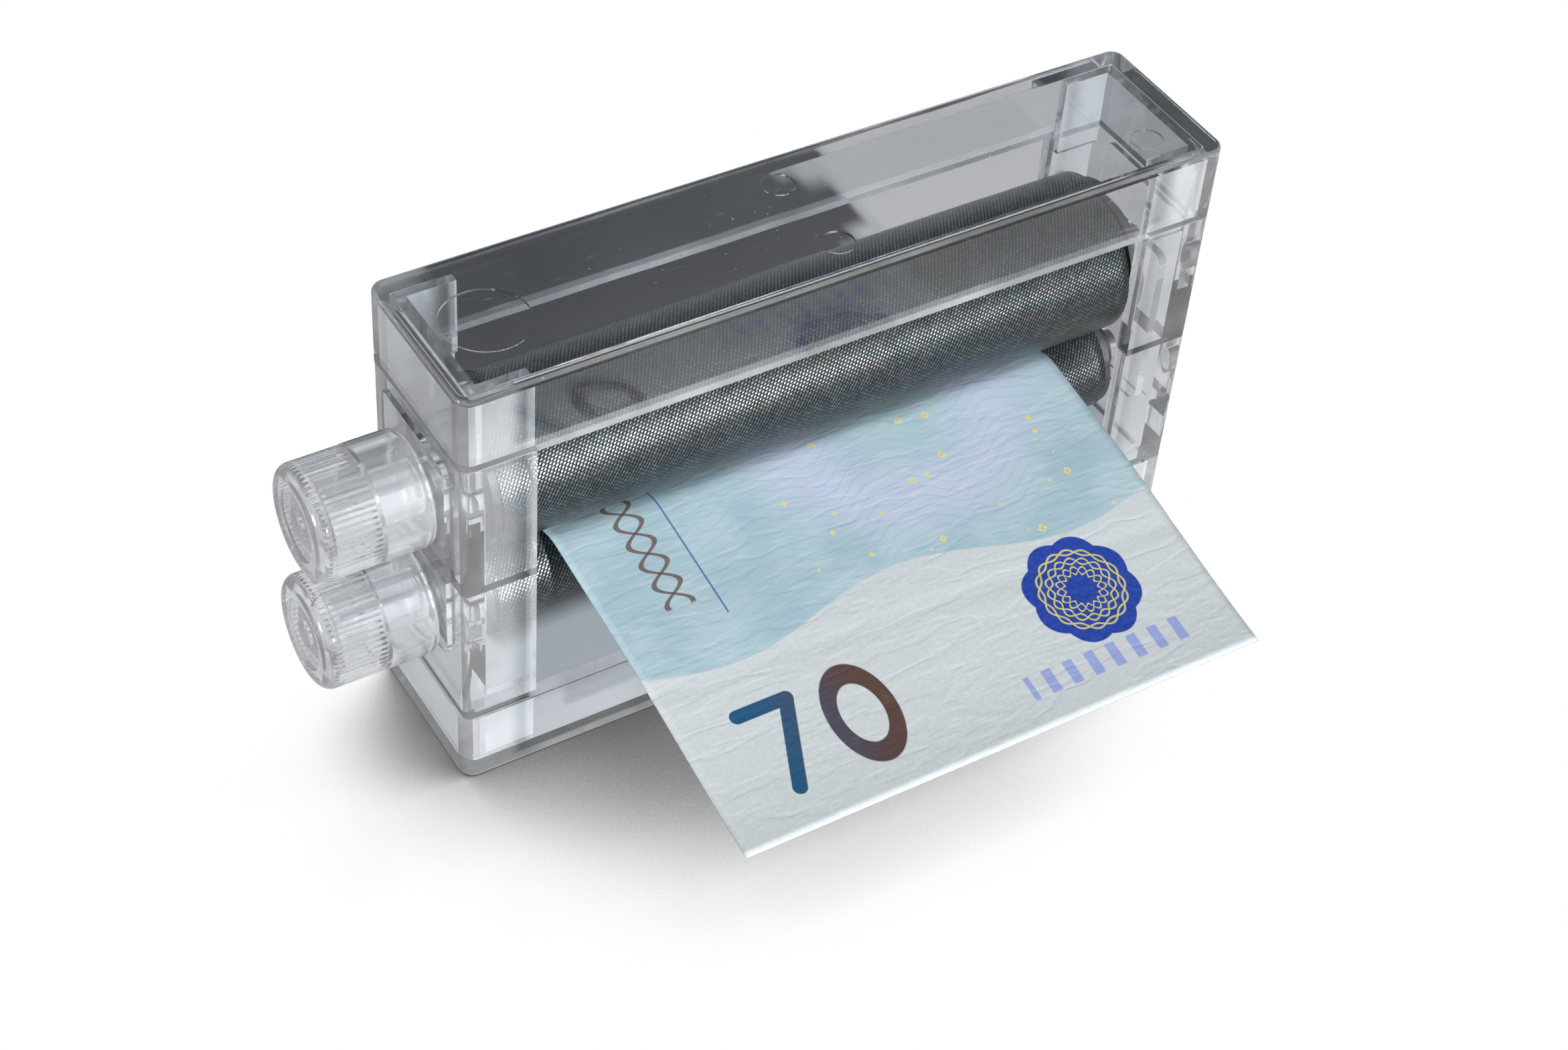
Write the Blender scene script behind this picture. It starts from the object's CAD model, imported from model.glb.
"""Clear hand-turned note roller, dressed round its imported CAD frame. Metres, +Z up."""

import math

import bmesh
import bpy
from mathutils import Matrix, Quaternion, Vector, noise


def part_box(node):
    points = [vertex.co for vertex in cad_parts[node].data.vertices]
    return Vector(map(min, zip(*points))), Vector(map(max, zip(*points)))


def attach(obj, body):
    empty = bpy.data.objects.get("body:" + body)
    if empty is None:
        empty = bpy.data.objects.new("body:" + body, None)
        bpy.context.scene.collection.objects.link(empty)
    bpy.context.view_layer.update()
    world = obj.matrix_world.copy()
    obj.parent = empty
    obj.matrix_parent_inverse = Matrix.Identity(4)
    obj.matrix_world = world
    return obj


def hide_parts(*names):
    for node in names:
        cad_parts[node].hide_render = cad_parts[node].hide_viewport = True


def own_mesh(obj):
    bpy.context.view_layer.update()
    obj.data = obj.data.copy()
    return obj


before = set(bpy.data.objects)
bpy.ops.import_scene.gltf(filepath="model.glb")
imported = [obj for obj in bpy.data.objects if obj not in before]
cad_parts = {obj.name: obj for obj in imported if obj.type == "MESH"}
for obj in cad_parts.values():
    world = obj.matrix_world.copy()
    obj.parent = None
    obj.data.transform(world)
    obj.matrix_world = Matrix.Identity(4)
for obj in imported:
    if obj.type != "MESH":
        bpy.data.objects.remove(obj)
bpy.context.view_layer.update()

MM = 0.001

# Camera, solved from the case's edges in a picture of 2342 by 1568 pixels
CAMERA_PLACE = Vector((-0.15824, -0.22863, 0.27628))
CAMERA_AZIMUTH = math.radians(34.612)
CAMERA_ELEVATION = math.radians(43.736)
CAMERA_ROLL = math.radians(4.982)
LENS_MM = 68.011
SENSOR_MM = 36

# Sun, low in front of the machine
SUN_AZIMUTH = math.radians(1)
SUN_ELEVATION = math.radians(19)
SUN_STRENGTH = 5.0
SUN_ANGLE = math.radians(1.2)

# Sky's light, and how high its pale horizon reaches where plastic mirrors or passes it
SKY_STRENGTH = 0.03
HORIZON_REACH = 0.6

# Narrow beam on the knobs' end
BEAM_POWER = 0.015
BEAM_WIDTH = 0.06
BEAM_HEIGHT = 0.07
BEAM_SPREAD = math.radians(20)
BEAM_PLACE = Vector((-0.40, -0.06, 0.10))
BEAM_TARGET = Vector((-0.055, 0, 0.03))

# Floor, and the nearby hollow space that counts as its shadow
FLOOR_HALF = 3.0
FLOOR_DROP = 0.02 * MM
SHADOW_REACH = 40 * MM
SHADOW_LEAN = (0.52, 0.40, 0.75)
SHADOW_SAMPLES = 16

# Edges of the clear case, from its nodes
TRAY_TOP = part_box("base_tray")[1].z
COVER_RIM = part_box("top_cover")[0].z
CASE_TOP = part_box("top_cover")[1].z
WINDOW_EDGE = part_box("right_upper_frame")[0].x
FRAME_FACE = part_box("left_upper_frame")[1].y

# Clear plastic: where each band of haze starts and ends, as heights or from those edges
POLYSTYRENE_IOR = 1.57
SOLE_HAZE = (1.2 * MM, 2.2 * MM)
FOOT_HAZE = (TRAY_TOP - 0.9 * MM, TRAY_TOP + 1.1 * MM)
FOOT_SHARE = 0.35
RIM_MIDDLE = COVER_RIM + 0.4 * MM
RIM_HAZE = (0.4 * MM, 0.8 * MM)
CROWN_HAZE = (CASE_TOP - 0.8 * MM, CASE_TOP - 0.4 * MM)
END_HAZE = (WINDOW_EDGE + 0.8 * MM, WINDOW_EDGE + 4.3 * MM)
FRINGE_HAZE = (WINDOW_EDGE + 0.7 * MM, WINDOW_EDGE + 1.0 * MM)
FRINGE_PITCH = 0.25 * MM

# Cloth; its threads are in millimetres, as its UV map is
CLOTH_THICKNESS = 0.13 * MM
CLOTH_SEGMENTS = 192
CLOTH_BRIGHTNESS = 0.32
THREAD_PITCH = 0.5
THREAD_LENGTH = 0.42
THREAD_STAGGER = 0.37
TWILL_LEAN = 0.5

# Outer turn: unevenness, room below the solid's surface, and creases at its left end
CLOTH_SEED = {"upper": 7, "lower": 31}
CLOTH_DIP = 0.02 * MM
CLOTH_SKIN = 0.01 * MM
CREASE_DEPTH = {"upper": 0.15 * MM, "lower": 0.3 * MM}
CREASE_REACH = 9 * MM

# Turns below the outer one
TURN_SEGMENTS = 96
CORE_ROOM = 0.05 * MM
OUTER_TURN_ROOM = 0.03 * MM
END_STEP = 0.12 * MM
STRAY_LEAST = 1 * MM
STRAY_LAP = 0.2 * MM
RETURN_ROOM = 2.5 * MM
SAME_PLACE = 0.0001 * MM

# Note
NOTE_SLOPE = math.radians(10)
NOTE_THICKNESS = 0.1 * MM
NOTE_CELL = 1.0 * MM


class Shader:
    """A material's node tree, with short ways to add nodes and join them."""

    def __init__(self, name):
        self.material = bpy.data.materials.new(name)
        self.material.use_nodes = True
        self.tree = self.material.node_tree
        self.main = self.tree.nodes["Principled BSDF"]
        self.output = self.tree.nodes["Material Output"]

    def put(self, socket, value):
        """Join a socket to another, or set its value."""
        if isinstance(value, bpy.types.NodeSocket):
            self.tree.links.new(value, socket)
        else:
            socket.default_value = value

    def add(self, kind, inputs=None, **settings):
        """A new node; inputs maps a socket's name or number to its value."""
        made = self.tree.nodes.new("ShaderNode" + kind)
        for name, value in settings.items():
            setattr(made, name, value)
        for socket, value in (inputs or {}).items():
            self.put(made.inputs[socket], value)
        return made

    def math(self, operation, *values):
        """A Math node's result."""
        made = self.add("Math", operation=operation)
        for index, value in enumerate(values):
            self.put(made.inputs[index], value)
        return made.outputs[0]

    def sum(self, *values):
        """Several values added up."""
        total = values[0]
        for value in values[1:]:
            total = self.math("ADD", total, value)
        return total

    def minus(self, a, b):
        """A difference."""
        return self.math("SUBTRACT", a, b)

    def times(self, a, b):
        """A product."""
        return self.math("MULTIPLY", a, b)

    def most(self, *values):
        """The greatest of several values."""
        greatest = values[0]
        for value in values[1:]:
            greatest = self.math("MAXIMUM", greatest, value)
        return greatest

    def size(self, value):
        """A value without its sign."""
        return self.math("ABSOLUTE", value)

    def reach(self, x, y):
        """How far a point is from the origin."""
        return self.math("SQRT", self.sum(self.times(x, x), self.times(y, y)))

    def wave(self, value, length):
        """A sine wave of a given length."""
        return self.math("SINE", self.times(value, 2 * math.pi / length))

    def step(self, value, low, high, start=0.0, end=1.0):
        """Start below low, end above high, smooth between."""
        made = self.add("MapRange", interpolation_type="SMOOTHSTEP")
        for name, number in (("Value", value), ("From Min", low), ("From Max", high),
                             ("To Min", start), ("To Max", end)):
            self.put(made.inputs[name], number)
        return made.outputs["Result"]

    def blend(self, factor, a, b):
        """A colour between a and b."""
        made = self.add("Mix", data_type="RGBA")
        self.put(made.inputs[0], factor)
        self.put(made.inputs[6], a)
        self.put(made.inputs[7], b)
        return made.outputs[2]

    def noise(self, coords, scale, detail=2.0, roughness=0.5):
        """Noise, 0 to 1."""
        made = self.add("TexNoise", {"Vector": coords, "Scale": scale, "Detail": detail,
                                     "Roughness": roughness})
        return made.outputs["Fac"]

    def mapped(self, coords, scale, rotation):
        """Coordinates scaled and turned."""
        made = self.add("Mapping", {"Vector": coords, "Scale": scale, "Rotation": rotation})
        return made.outputs[0]

    def bump(self, height, distance, strength=1.0, normal=None):
        """A bump node's normal."""
        made = self.add("Bump", {"Height": height, "Distance": distance, "Strength": strength})
        if normal is not None:
            self.put(made.inputs["Normal"], normal)
        return made.outputs["Normal"]

    def axes(self, vector):
        """A vector's X, Y and Z."""
        return self.add("SeparateXYZ", {0: vector}).outputs

    def place(self):
        """Coordinates on the piece, in metres."""
        return self.add("TexCoord").outputs["Object"]

    def levelness(self):
        """1 on a level face, 0 on an upright one."""
        normal = self.add("NewGeometry").outputs["True Normal"]
        return self.size(self.axes(normal)["Z"])

    def looked_at(self):
        """1 for what the camera sees straight, mirrored or through clear plastic, else 0."""
        path = self.add("LightPath").outputs
        seen = self.most(path["Is Camera Ray"], path["Is Glossy Ray"],
                         path["Is Transmission Ray"])
        return self.times(seen, self.math("LESS_THAN", path["Diffuse Depth"], 0.5))

    def surface(self, factor, a, b):
        """Show shader a where the factor is 0 and b where it is 1."""
        both = self.add("MixShader", {0: factor, 1: a.outputs[0], 2: b.outputs[0]})
        self.put(self.output.inputs["Surface"], both.outputs[0])

    def finish(self, **values):
        """Set sockets of the main shader by name; an underscore stands for a space."""
        for name, value in values.items():
            self.put(self.main.inputs[name.replace("_", " ")], value)
        return self.material


class WorldShader(Shader):
    """The world's node tree."""

    def __init__(self, name):
        self.world = bpy.data.worlds.new(name)
        self.world.use_nodes = True
        self.tree = self.world.node_tree
        self.main = self.tree.nodes["Background"]
        self.output = self.tree.nodes["World Output"]


def rgb(red, green, blue):
    """An opaque colour."""
    return (red, green, blue, 1.0)


def let_lamps_through(s, tint):
    """Clear plastic for sight, a tinted film for the light that falls through it."""
    path = s.add("LightPath").outputs
    lighting = s.most(path["Is Shadow Ray"], path["Is Diffuse Ray"])
    s.surface(lighting, s.main, s.add("BsdfTransparent", {"Color": tint}))


def marks_of_use(s, place):
    """Masks of long fine scratches and of small specks."""
    stretched = s.mapped(place, (1200, 6000, 6000), (0.2, 0.1, 0.6))
    scratches = s.step(s.noise(stretched, 0.12, 2, 0.7), 0.68, 0.76)
    cells = s.add("TexVoronoi", {"Vector": place, "Scale": 420.0})
    return scratches, s.step(cells.outputs["Distance"], 0.02, 0.05, 1, 0)


def haze_by_place(s, place, walls, roof, ends, fringe):
    """Haze of the walls, level faces, ends and outer edges, and of the window's ribbed edges."""
    x, _, z = s.axes(place)
    across = s.size(x)
    level = s.step(s.levelness(), 0.6, 0.95)
    inner = s.step(level, 0, 1, walls, roof)

    sole = s.step(z, *SOLE_HAZE, 1, 0)
    foot = s.step(z, *FOOT_HAZE, FOOT_SHARE, 0)
    rim = s.step(s.size(s.minus(z, RIM_MIDDLE)), *RIM_HAZE, 1, 0)
    crown = s.step(z, *CROWN_HAZE)
    end = s.step(across, *END_HAZE)
    outer = s.times(s.most(sole, foot, rim, crown, end), s.step(level, 0, 1, 1, 0.2))

    ribs = s.step(s.wave(z, FRINGE_PITCH), -0.6, 0.6, 0.4 * fringe, fringe)
    edge = s.times(s.step(across, *FRINGE_HAZE, 1, 0), ribs)
    return s.sum(s.step(outer, 0, 1, inner, ends), edge)


def clear_plastic(name, roughness, shadow_tint, walls, roof, ends, fringe):
    """Clear moulded polystyrene, hazy by place and marked by use."""
    s = Shader(name)
    place = s.place()
    scratches, specks = marks_of_use(s, place)
    smudges = s.step(s.noise(place, 160, 4, 0.6), 0.45, 0.75, 0, 0.04)
    rough = s.sum(s.times(scratches, 0.05), s.times(specks, 0.25), smudges, roughness)
    ripple = s.bump(s.noise(place, 70, 1), 0.08 * MM)
    normal = s.bump(s.sum(specks, s.times(scratches, 0.2)), 0.02 * MM, 0.6, ripple)
    clouds = s.step(s.noise(place, 60, 4, 0.6), 0.3, 0.75, 0.6, 1.5)
    haze = s.times(haze_by_place(s, place, walls, roof, ends, fringe), clouds)
    milk = s.sum(haze, s.times(scratches, 0.05), s.times(specks, 0.2))
    s.finish(Base_Color=rgb(0.94, 0.955, 0.97), Transmission_Weight=s.minus(1.0, milk),
             IOR=POLYSTYRENE_IOR, Roughness=rough, Normal=normal)
    let_lamps_through(s, shadow_tint)
    return s.material


def black_plastic():
    """Black moulding with a fine grain."""
    s = Shader("black_plastic")
    place = s.place()
    grain = s.noise(place, 900, 4)
    tone = s.blend(s.step(s.noise(place, 140, 3), 0.3, 0.7), rgb(0.018, 0.018, 0.020),
                   rgb(0.045, 0.045, 0.048))
    rough = s.step(grain, 0.3, 0.7, 0.32, 0.5)
    return s.finish(Base_Color=tone, Roughness=rough, Normal=s.bump(grain, 0.02 * MM))


def woven_cloth():
    """Black twill whose synthetic threads glitter; the UV map is in millimetres."""
    s = Shader("glitter_twill")
    uv = s.add("UVMap", uv_map="cloth").outputs[0]
    x, y, _ = s.axes(uv)
    around = s.math("DIVIDE", y, THREAD_LENGTH)
    along = s.sum(s.math("DIVIDE", x, THREAD_PITCH), s.times(around, TWILL_LEAN))
    column = s.math("FLOOR", along)
    around = s.sum(around, s.times(column, THREAD_STAGGER))
    row = s.math("FLOOR", around)
    across_thread = s.math("SINE", s.times(s.math("FRACT", along), math.pi))
    along_thread = s.math("SINE", s.times(s.math("FRACT", around), math.pi))
    thread = s.times(s.math("POWER", across_thread, 1.5), s.math("POWER", along_thread, 0.7))

    cell = s.add("CombineXYZ", {0: column, 1: row}).outputs[0]
    chance = s.add("TexWhiteNoise", {"Vector": cell}, noise_dimensions="3D").outputs
    hue = s.blend(0.75, chance["Color"], rgb(0.72, 0.84, 0.86))
    glint = s.times(s.step(chance["Value"], 0.1, 1.0, 0.75, 1.15), thread)
    shine = s.times(glint, s.step(s.noise(uv, 0.35, 3), 0.3, 0.7, 0.85, 1.1))
    colour = s.blend(s.times(shine, CLOTH_BRIGHTNESS), rgb(0.012, 0.012, 0.014), hue)
    return s.finish(Base_Color=colour, Metallic=0.85, Roughness=0.3,
                    Normal=s.bump(thread, 0.04 * MM, 0.8))


class NotePrint(Shader):
    """A made-up note, painted motif by motif. Places and widths are millimetres on the paper:
    x from its left edge, y from the nip towards its front edge."""

    def __init__(self):
        super().__init__("printed_paper")
        self.uv = self.add("UVMap", uv_map="note").outputs[0]
        self.x, self.y, _ = self.axes(self.uv)
        self.fibre = self.noise(self.uv, 1.6, 5, 0.65)
        self.colour = self.blend(self.step(self.fibre, 0.3, 0.7), rgb(0.61, 0.665, 0.69),
                                 rgb(0.68, 0.73, 0.75))
        self.field = self.paint_field()
        self.paint_waves()
        self.paint_lozenges()
        self.paint_rosette()
        self.paint_chain()
        self.paint_number()
        self.paint_bars()
        self.finish(Base_Color=self.colour_with_wear(), Roughness=0.72,
                    Specular_IOR_Level=0.3, Normal=self.creases())

    def paint(self, mask, colour):
        """Lay a colour over the print where the mask is 1."""
        self.colour = self.blend(mask, self.colour, colour)

    def line(self, distance, half_width, blur, strength=0.85):
        """A mask that is full up to a line's half width and fades over the blur."""
        return self.step(distance, half_width, half_width + blur, strength, 0)

    def band(self, value, low, high, blur=0.2):
        """A mask between two places, fading inside both."""
        return self.times(self.step(value, low, low + blur),
                          self.step(value, high - blur, high, 1, 0))

    def stripes(self, value, per_mm):
        """How far a point is from the middle of its stripe, in stripes."""
        return self.size(self.minus(self.math("FRACT", self.times(value, per_mm)), 0.5))

    def to_segment(self, start, end):
        """How far a point is from a straight line between two points."""
        run = (end[0] - start[0], end[1] - start[1])
        length = run[0] ** 2 + run[1] ** 2
        px = self.minus(self.x, start[0])
        py = self.minus(self.y, start[1])
        dot = self.sum(self.times(px, run[0] / length), self.times(py, run[1] / length))
        share = self.math("MAXIMUM", self.math("MINIMUM", dot, 1.0), 0.0)
        return self.reach(self.minus(px, self.times(share, run[0])),
                          self.minus(py, self.times(share, run[1])))

    def to_oval(self, centre, radii):
        """How far a point is from an oval's line, nearly."""
        px = self.math("DIVIDE", self.minus(self.x, centre[0]), radii[0])
        py = self.math("DIVIDE", self.minus(self.y, centre[1]), radii[1])
        return self.times(self.size(self.minus(self.reach(px, py), 1.0)), min(radii))

    def paint_field(self):
        """Tint the paper up to a wavy border, with a lilac ring and a fine screen of dots."""
        border_y, border_length, border_swing = 28.5, 48, 2.2
        ring_centre, ring_radius, ring_blur = (47, 4), 15, 9
        dot_pitch = 0.55
        border = self.sum(border_y, self.times(self.wave(self.x, border_length), border_swing))
        field = self.step(self.minus(border, self.y), -0.15, 0.15)
        cloud = self.step(self.noise(self.uv, 0.12, 3), 0.35, 0.65)
        tint = self.blend(cloud, rgb(0.42, 0.56, 0.63), rgb(0.51, 0.64, 0.69))
        ring = self.to_oval(ring_centre, (ring_radius, ring_radius))
        tint = self.blend(self.step(ring, 0, ring_blur, 0.7, 0), tint, rgb(0.66, 0.68, 0.88))
        dots = self.times(self.wave(self.sum(self.x, self.y), dot_pitch),
                          self.wave(self.minus(self.x, self.y), dot_pitch))
        tint = self.blend(self.step(dots, 0.1, 0.5, 0, 0.35), tint, rgb(0.36, 0.60, 0.74))
        self.paint(field, tint)
        return field

    def paint_waves(self):
        """Wave lines across the field."""
        wave = self.sum(self.y, self.times(self.wave(self.x, 19), 1.6),
                        self.times(self.wave(self.x, 7.3), 0.35))
        lines = self.line(self.stripes(wave, 0.62), 0.05, 0.08, 0.4)
        self.paint(self.times(lines, self.field), rgb(0.30, 0.56, 0.72))

    def paint_lozenges(self):
        """Small yellow lozenges strewn over the field, but for its left side."""
        left_end = (22, 26)
        spots = self.add("TexVoronoi", {"Vector": self.uv, "Scale": 0.32, "Randomness": 0.75},
                         distance="MANHATTAN").outputs["Distance"]
        outline = self.line(self.size(self.minus(spots, 0.17)), 0.045, 0.03)
        where = self.times(self.field, self.step(self.x, *left_end))
        self.paint(self.times(outline, where), rgb(0.84, 0.74, 0.22))

    def paint_rosette(self):
        """Deep blue eight-petalled rosette with three pairs of crossing rings."""
        centre, radius, scallop = (56.0, 38.5), 6.9, 0.75
        petals = 8
        rings = ((5.4, 0.35), (4.1, 0.45), (2.7, 0.55))
        dx = self.minus(self.x, centre[0])
        dy = self.minus(self.y, centre[1])
        reach = self.reach(dx, dy)
        turn = self.math("ARCTAN2", dy, dx)
        scallops = self.size(self.math("SINE", self.times(turn, petals / 2)))
        outline = self.sum(radius, self.times(scallops, scallop))
        disc = self.step(self.minus(reach, outline), -0.08, 0.08, 1, 0)
        ink = self.blend(self.step(self.fibre, 0.25, 0.75), rgb(0.012, 0.045, 0.33),
                         rgb(0.03, 0.08, 0.44))
        self.paint(disc, ink)
        petal = self.math("SINE", self.times(turn, petals))
        for ring_radius, swing in rings:
            for sign in (-1, 1):
                ring = self.sum(ring_radius, self.times(petal, sign * swing))
                thin = self.line(self.size(self.minus(reach, ring)), 0.09, 0.08)
                self.paint(self.times(thin, disc), rgb(0.74, 0.66, 0.20))

    def paint_chain(self):
        """Brown chain of two crossing waves, with a blue rule beside it."""
        chain_x, link_length, link_swing, chain_end = 9.5, 6.4, 1.7, (21, 21.4)
        rule_x, rule_end = 14.2, (24, 24.3)
        swing = self.times(self.wave(self.y, link_length), link_swing)
        for way in (-1, 1):
            bent = self.size(self.sum(self.x, -chain_x, self.times(swing, way)))
            strand = self.times(self.line(bent, 0.28, 0.14), self.step(self.y, *chain_end, 1, 0))
            self.paint(strand, rgb(0.13, 0.075, 0.055))
        rule = self.line(self.size(self.minus(self.x, rule_x)), 0.08, 0.08)
        self.paint(self.times(rule, self.step(self.y, *rule_end, 1, 0)), rgb(0.03, 0.14, 0.34))

    def paint_number(self):
        """Plain number 70, dark blue fading to brown."""
        seven_left, seven_corner, seven_foot = (8.0, 37.2), (14.6, 37.2), (10.2, 48.2)
        zero_centre, zero_radii = (22.0, 42.6), (3.6, 5.5)
        bar = self.to_segment(seven_left, seven_corner)
        leg = self.to_segment(seven_corner, seven_foot)
        zero = self.to_oval(zero_centre, zero_radii)
        distance = self.math("MINIMUM", self.math("MINIMUM", bar, leg), zero)
        ink = self.blend(self.step(self.x, 8, 25), rgb(0.012, 0.10, 0.22), rgb(0.11, 0.06, 0.05))
        self.paint(self.line(distance, 0.85, 0.15, 1), ink)

    def paint_bars(self):
        """Pale blue bars near the front corner."""
        patch = self.times(self.band(self.y, 46.3, 49.8), self.band(self.x, 42.0, 66.2))
        bars = self.line(self.stripes(self.x, 0.32), 0.20, 0.04, 0.8)
        self.paint(self.times(bars, patch), rgb(0.27, 0.36, 0.78))

    def colour_with_wear(self):
        """The print's colour with soil, and darker where the paper is cut."""
        soil = self.step(self.noise(self.uv, 0.3, 4, 0.6), 0.55, 0.8, 0, 0.1)
        self.paint(soil, rgb(0.45, 0.45, 0.42))
        self.paint(self.step(self.levelness(), 0.5, 0.8, 0.7, 0), rgb(0.2, 0.22, 0.23))
        return self.colour

    def creases(self):
        """The paper's normal with its faint creases and fibres."""
        folds = self.noise(self.mapped(self.uv, (0.06, 0.22, 1), (0, 0, 0.5)), 1.0, 3, 0.6)
        ridge = self.step(self.size(self.minus(folds, 0.5)), 0.0, 0.08)
        return self.bump(self.fibre, 0.008 * MM, 0.5, self.bump(ridge, 0.06 * MM, 0.35))


def new_piece(name, mesh, material, body):
    """An object of the scene that rides on a body."""
    piece = bpy.data.objects.new(name, mesh)
    bpy.context.scene.collection.objects.link(piece)
    mesh.materials.append(material)
    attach(piece, body)
    return piece


def grid_mesh(name, columns, rows, point, uv_name, uv, wrap=False, smooth=True):
    """A grid of quads over point(column, row); with wrap the last row joins the first."""
    mesh = bpy.data.meshes.new(name)
    shape = bmesh.new()
    layer = shape.loops.layers.uv.new(uv_name)
    count = rows if wrap else rows + 1
    points = [[shape.verts.new(point(i, j)) for i in range(columns + 1)] for j in range(count)]
    for j in range(rows):
        for i in range(columns):
            spots = [(i, j), (i + 1, j), (i + 1, j + 1), (i, j + 1)]
            face = shape.faces.new([points[b % count][a] for a, b in spots])
            face.smooth = smooth
            for loop, (a, b) in zip(face.loops, spots):
                loop[layer].uv = uv(a, b)
    shape.to_mesh(mesh)
    shape.free()
    return mesh


def face_outward(mesh, weld=0.0):
    """Make a mesh's faces look outward, once points nearer than weld are joined."""
    shape = bmesh.new()
    shape.from_mesh(mesh)
    if weld:
        bmesh.ops.remove_doubles(shape, verts=shape.verts, dist=weld)
    bmesh.ops.recalc_face_normals(shape, faces=shape.faces)
    shape.to_mesh(mesh)
    shape.free()


def thicken(piece, thickness, offset):
    """Give a sheet its thickness, as part of its mesh."""
    solid = piece.modifiers.new("thickness", "SOLIDIFY")
    solid.thickness = thickness
    solid.offset = offset
    solid.use_even_offset = True
    graph = bpy.context.evaluated_depsgraph_get()
    made = bpy.data.meshes.new_from_object(piece.evaluated_get(graph), depsgraph=graph)
    piece.modifiers.clear()
    piece.data = made


def make_winding(level, cloth):
    """The cloth's outer turn on a roller, over the turns below it."""
    node = f"{level}_cloth_winding"
    low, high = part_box(node)
    core_low, core_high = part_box(f"{level}_roller_core")
    axis_z = (low.z + high.z) / 2
    radius = (high.z - low.z) / 2
    width = high.x - low.x
    seed = Vector((0, 0, CLOTH_SEED[level]))
    crease = CREASE_DEPTH[level]
    columns = round(width / MM)

    def point(i, j):
        angle = 2 * math.pi * j / CLOTH_SEGMENTS
        x = low.x + width * i / columns
        turn = Vector((0, math.cos(angle), math.sin(angle)))
        near_left = max(0, 1 - (x - low.x) / CREASE_REACH)
        uneven = noise.noise(Vector((x * 60, 0, 0)) + turn * 1.5 + seed)
        fold = noise.noise(Vector((x * 420, 0, 0)) + turn * 3.2 + seed)
        dip = CLOTH_DIP * (1 + uneven) + CLOTH_SKIN
        r = radius - dip - crease * near_left * max(0, fold)
        return Vector((x, -turn.z * r, axis_z + turn.y * r))

    def uv(i, j):
        return (width / MM * i / columns, 2 * math.pi * radius / MM * j / CLOTH_SEGMENTS)

    mesh = grid_mesh(f"{node}_outer", columns, CLOTH_SEGMENTS, point, "cloth", uv, wrap=True)
    face_outward(mesh)
    turn = new_piece(f"{level}_cloth_outer_turn", mesh, cloth, f"{level}_roller")
    thicken(turn, CLOTH_THICKNESS, -1)
    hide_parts(node)

    inside = (core_high.z - core_low.z) / 2 + CORE_ROOM
    outside = radius - CLOTH_THICKNESS - crease - OUTER_TURN_ROOM
    wound_turns(f"{level}_cloth_turns", level, cloth, low.x, high.x, axis_z, inside, outside)
    if core_low.x < low.x - STRAY_LEAST:
        wound_turns(f"{level}_cloth_stray_turns", level, cloth, core_low.x, low.x + STRAY_LAP,
                    axis_z, inside, min(outside, FRAME_FACE - RETURN_ROOM))


def wound_turns(name, level, cloth, left, right, axis_z, inside, outside):
    """Turns below the outer one, stepped at both ends like wound cloth."""
    layers = max(3, round((outside - inside) / CLOTH_THICKNESS))
    step = (outside - inside) / layers
    end = [(END_STEP, inside)]
    for index in range(layers):
        inset = END_STEP * (0.8 if index % 2 else 0.2)
        end.append((inset, inside + (index + 0.1) * step))
        end.append((inset, inside + (index + 0.9) * step))
    end.append((END_STEP, outside))
    profile = [(left + inset, r) for inset, r in end]
    profile += [(right - inset, r) for inset, r in reversed(end)]
    profile.append(profile[0])

    def point(i, j):
        angle = 2 * math.pi * j / TURN_SEGMENTS
        x, r = profile[i]
        return Vector((x, -math.sin(angle) * r, axis_z + math.cos(angle) * r))

    def uv(i, j):
        x, r = profile[i]
        return ((x - left + r - inside) / MM, 2 * math.pi * r / MM * j / TURN_SEGMENTS)

    mesh = grid_mesh(name, len(profile) - 1, TURN_SEGMENTS, point, "cloth", uv, wrap=True,
                     smooth=False)
    face_outward(mesh, weld=SAME_PLACE)
    piece = new_piece(name, mesh, cloth, f"{level}_roller")


def smooth_share(value):
    """0 below 0, 1 above 1, smooth between."""
    value = min(1, max(0, value))
    return value * value * (3 - 2 * value)


def note_bow(reach, x, radius):
    """How far the note stands off its plane, at a distance out of the nip and a place across,
    where radius is the upper winding's. It leaves the nip along that winding, runs out at a
    nearly even height and sinks towards its front edge."""
    out = max(reach, 0) / MM
    across = x / MM
    roller = radius / MM
    follow, height, fall, fall_start, fall_length, blend = 0.88, 1.68, 1.3, 22, 31, 6
    along_roller = follow * (roller - math.sqrt(roller ** 2 - min(out, roller) ** 2))
    free = height - fall * smooth_share((out - fall_start) / fall_length)
    rise = 0
    if out:
        rise = free * along_roller / (free ** blend + along_roller ** blend) ** (1 / blend)

    # unevenness, and two creases, all growing with the distance from the nip
    share = smooth_share((out - 8) / 14)
    wobble = 0.16 * noise.noise(Vector((x * 38, out * 0.045, 3)))
    lengthwise = 0.10 * math.exp(-((across + 2.5 + out * 0.03) / 0.9) ** 2)
    crosswise = 0.08 * math.exp(-((out - 33 - across * 0.05) / 0.8) ** 2)
    return (rise + share * (wobble - lengthwise - crosswise)) * MM


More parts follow.
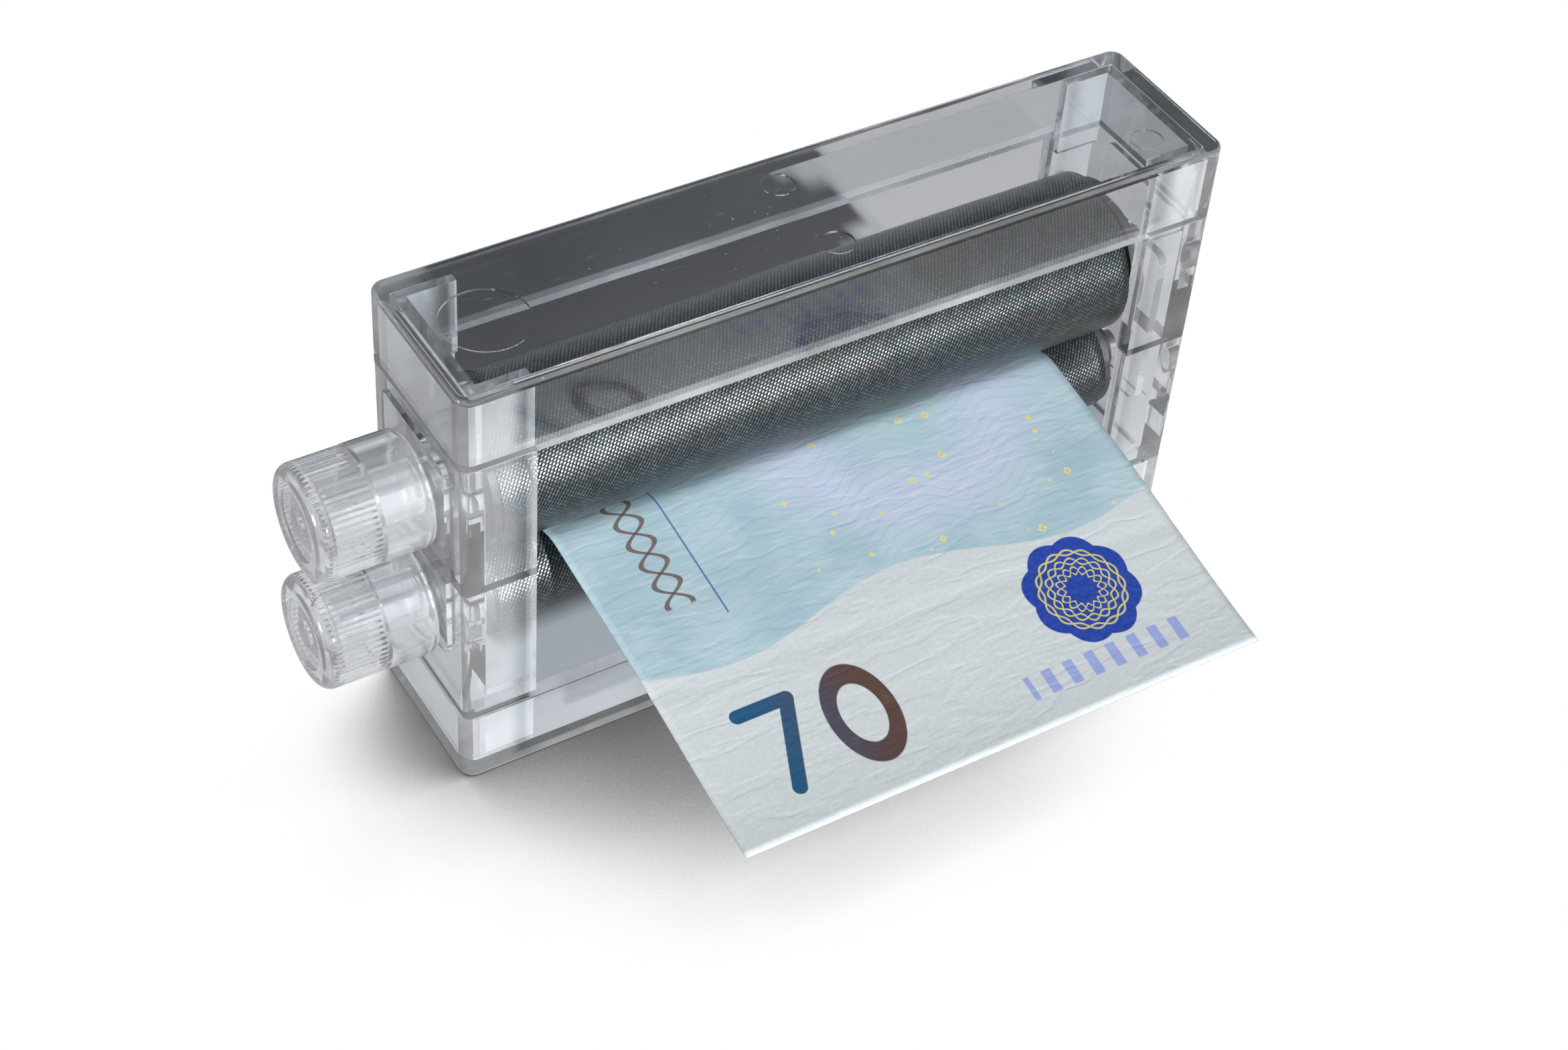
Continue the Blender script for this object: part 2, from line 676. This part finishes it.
def make_note():
    """The note in the nip, bowed a little between the rollers and its front edge."""
    low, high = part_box("paper_note")
    winding_low, winding_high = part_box("upper_cloth_winding")
    radius = (winding_high.z - winding_low.z) / 2
    forward = Vector((0, -math.cos(NOTE_SLOPE), -math.sin(NOTE_SLOPE)))
    upward = Vector((0, -math.sin(NOTE_SLOPE), math.cos(NOTE_SLOPE)))
    half_rise = NOTE_THICKNESS / 2 * math.cos(NOTE_SLOPE)
    front = Vector((0, low.y, low.z + half_rise))
    back = Vector((0, high.y, high.z - half_rise))
    length = (front - back).length
    nip = back + forward * (back.y / math.cos(NOTE_SLOPE))
    tail = (back - nip).length
    width = high.x - low.x
    columns = round(width / NOTE_CELL)
    rows = round(length / NOTE_CELL)

    def spot(i, j):
        return low.x + width * i / columns, length * j / rows - tail

    def point(i, j):
        x, reach = spot(i, j)
        place = nip + forward * reach + upward * note_bow(reach, x, radius)
        return Vector((x, place.y, place.z))

    def uv(i, j):
        x, reach = spot(i, j)
        return (x - low.x) / MM, reach / MM

    mesh = grid_mesh("note", columns, rows, point, "note", uv)
    face_outward(mesh)
    note = new_piece("printed_note", mesh, NotePrint().material, "note")
    thicken(note, NOTE_THICKNESS, 0)
    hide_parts("paper_note")
    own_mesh(note)


def dress_nodes():
    """Finishes of the CAD nodes that stay."""
    case = clear_plastic("case_plastic", roughness=0.012, shadow_tint=rgb(0.90, 0.915, 0.93),
                         walls=0.010, roof=0.002, ends=0.14, fringe=0.0)
    frames = clear_plastic("frame_plastic", roughness=0.03, shadow_tint=rgb(0.92, 0.93, 0.94),
                           walls=0.03, roof=0.01, ends=0.11, fringe=0.16)
    knobs = clear_plastic("knob_plastic", roughness=0.07, shadow_tint=rgb(0.94, 0.94, 0.95),
                          walls=0.08, roof=0.08, ends=0.08, fringe=0.0)
    black = black_plastic()
    for name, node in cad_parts.items():
        if "knob" in name or "spindle" in name:
            material = knobs
        elif "frame" in name:
            material = frames
        elif "cover" in name or "tray" in name:
            material = case
        else:
            material = black
        node.data.materials.clear()
        node.data.materials.append(material)


def make_floor():
    """A pale floor, white where the camera looks at it, which keeps the object's shadow."""
    s = Shader("floor")
    plain = s.blend(s.noise(s.place(), 8, 3), rgb(0.66, 0.66, 0.66), rgb(0.70, 0.70, 0.70))
    s.finish(Base_Color=s.blend(s.looked_at(), plain, rgb(0.90, 0.90, 0.91)), Roughness=0.9,
             Specular_IOR_Level=0.0)
    lean = s.add("CombineXYZ", dict(enumerate(SHADOW_LEAN))).outputs[0]
    nearby = s.add("AmbientOcclusion", {"Distance": SHADOW_REACH, "Normal": lean},
                   samples=SHADOW_SAMPLES)
    shade = s.step(nearby.outputs["AO"], 0.22, 0.72, 0.1, 1.0)
    glow = s.add("Emission", {"Color": rgb(1, 1, 1), "Strength": shade})
    s.surface(s.add("LightPath").outputs["Is Camera Ray"], s.main, glow)

    mesh = bpy.data.meshes.new("floor")
    corners = [(-FLOOR_HALF, -FLOOR_HALF, 0), (FLOOR_HALF, -FLOOR_HALF, 0),
               (FLOOR_HALF, FLOOR_HALF, 0), (-FLOOR_HALF, FLOOR_HALF, 0)]
    mesh.from_pydata(corners, [], [(0, 1, 2, 3)])
    mesh.materials.append(s.material)
    floor = bpy.data.objects.new("floor", mesh)
    floor.location.z = -FLOOR_DROP
    bpy.context.scene.collection.objects.link(floor)


def direction(azimuth, elevation):
    """A unit vector, level towards +Y at azimuth 0 and turned towards +X."""
    level = math.cos(elevation)
    return Vector((math.sin(azimuth) * level, math.cos(azimuth) * level, math.sin(elevation)))


def make_light():
    """A low sun from the front, a weak sky and a beam on the knobs' end."""
    w = WorldShader("sky")
    bpy.context.scene.world = w.world
    w.put(w.main.inputs["Color"], rgb(0.90, 0.95, 1.0))
    w.put(w.main.inputs["Strength"], SKY_STRENGTH)
    height = w.axes(w.add("TexCoord").outputs["Generated"])["Z"]
    shown = w.blend(w.step(height, 0.0, HORIZON_REACH), rgb(0.80, 0.84, 0.88),
                    rgb(0.09, 0.10, 0.12))
    w.surface(w.looked_at(), w.main, w.add("Background", {"Color": shown}))

    sun = bpy.data.lights.new("sun", "SUN")
    sun.energy = SUN_STRENGTH
    sun.angle = SUN_ANGLE
    aim_lamp(sun, direction(math.pi - SUN_AZIMUTH, SUN_ELEVATION), Vector((0, 0, 0)))

    beam = bpy.data.lights.new("side_beam", "AREA")
    beam.shape = "RECTANGLE"
    beam.size = BEAM_WIDTH
    beam.size_y = BEAM_HEIGHT
    beam.spread = BEAM_SPREAD
    beam.energy = BEAM_POWER
    aim_lamp(beam, BEAM_PLACE, BEAM_TARGET)


def aim_lamp(light, place, target):
    """A lamp at a place, turned to a target."""
    lamp = bpy.data.objects.new(light.name, light)
    lamp.location = place
    lamp.rotation_mode = "QUATERNION"
    lamp.rotation_quaternion = (place - target).to_track_quat("Z", "Y")
    bpy.context.scene.collection.objects.link(lamp)


def make_camera():
    """The camera at the photograph's place."""
    camera = bpy.data.cameras.new("camera")
    camera.lens = LENS_MM
    camera.sensor_width = SENSOR_MM
    camera.clip_start = 10 * MM
    holder = bpy.data.objects.new("camera", camera)
    forward = direction(CAMERA_AZIMUTH, -CAMERA_ELEVATION)
    holder.location = CAMERA_PLACE
    holder.rotation_mode = "QUATERNION"
    holder.rotation_quaternion = (
        forward.to_track_quat("-Z", "Y") @ Quaternion((0, 0, 1), CAMERA_ROLL)
    )
    bpy.context.scene.collection.objects.link(holder)
    bpy.context.scene.camera = holder


make_camera()
cloth_material = woven_cloth()
dress_nodes()
for level in ("upper", "lower"):
    make_winding(level, cloth_material)
make_note()
make_floor()
make_light()
bpy.context.scene.view_settings.view_transform = "Standard"
